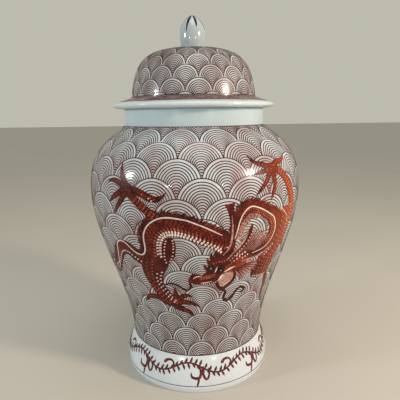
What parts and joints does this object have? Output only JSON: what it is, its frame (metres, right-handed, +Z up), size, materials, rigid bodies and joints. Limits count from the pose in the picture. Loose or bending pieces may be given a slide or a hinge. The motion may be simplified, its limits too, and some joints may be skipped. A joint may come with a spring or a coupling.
{
  "type": "ginger jar",
  "caption": "Lidded porcelain temple jar with a flared foot, high shoulder, straight neck and a hat-shaped lid topped by a bud finial.",
  "frame": {"origin": "on the table under the jar's upright axis, at the plane of the foot rim", "axes": "+Z up along the jar's turning axis, -Y towards the painted front"},
  "size_m": [0.2686, 0.2686, 0.455],
  "materials": {
    "foot_glaze": "glossy clear glaze over white, painted with an iron-red vine",
    "wave_glaze": "glossy clear glaze over white painted with brown-red concentric waves",
    "neck_glaze": "glossy pale blue-white glaze",
    "brim_glaze": "glossy pale glaze with a brown painted band",
    "bare_porcelain": "unglazed biscuit porcelain",
    "finial_glaze": "glossy pale blue-white glaze with dark brush strokes at the tip",
    "iron_red_enamel": "semi-gloss iron-red overglaze enamel"
  },
  "bodies": {
    "jar": {"jar_foot": "foot_glaze", "jar_lower_body": "wave_glaze", "jar_upper_body": "wave_glaze", "jar_neck": "neck_glaze"},
    "lid": {"lid_brim": "brim_glaze", "lid_locating_ring": "bare_porcelain", "lid_dome": "wave_glaze", "finial": "finial_glaze"}
  },
  "joints": [
    {"name": "lid_lift", "type": "slide", "parent": "jar", "child": "lid", "axis": [0, 0, 1], "range_m": [0, 0.12]}
  ]
}
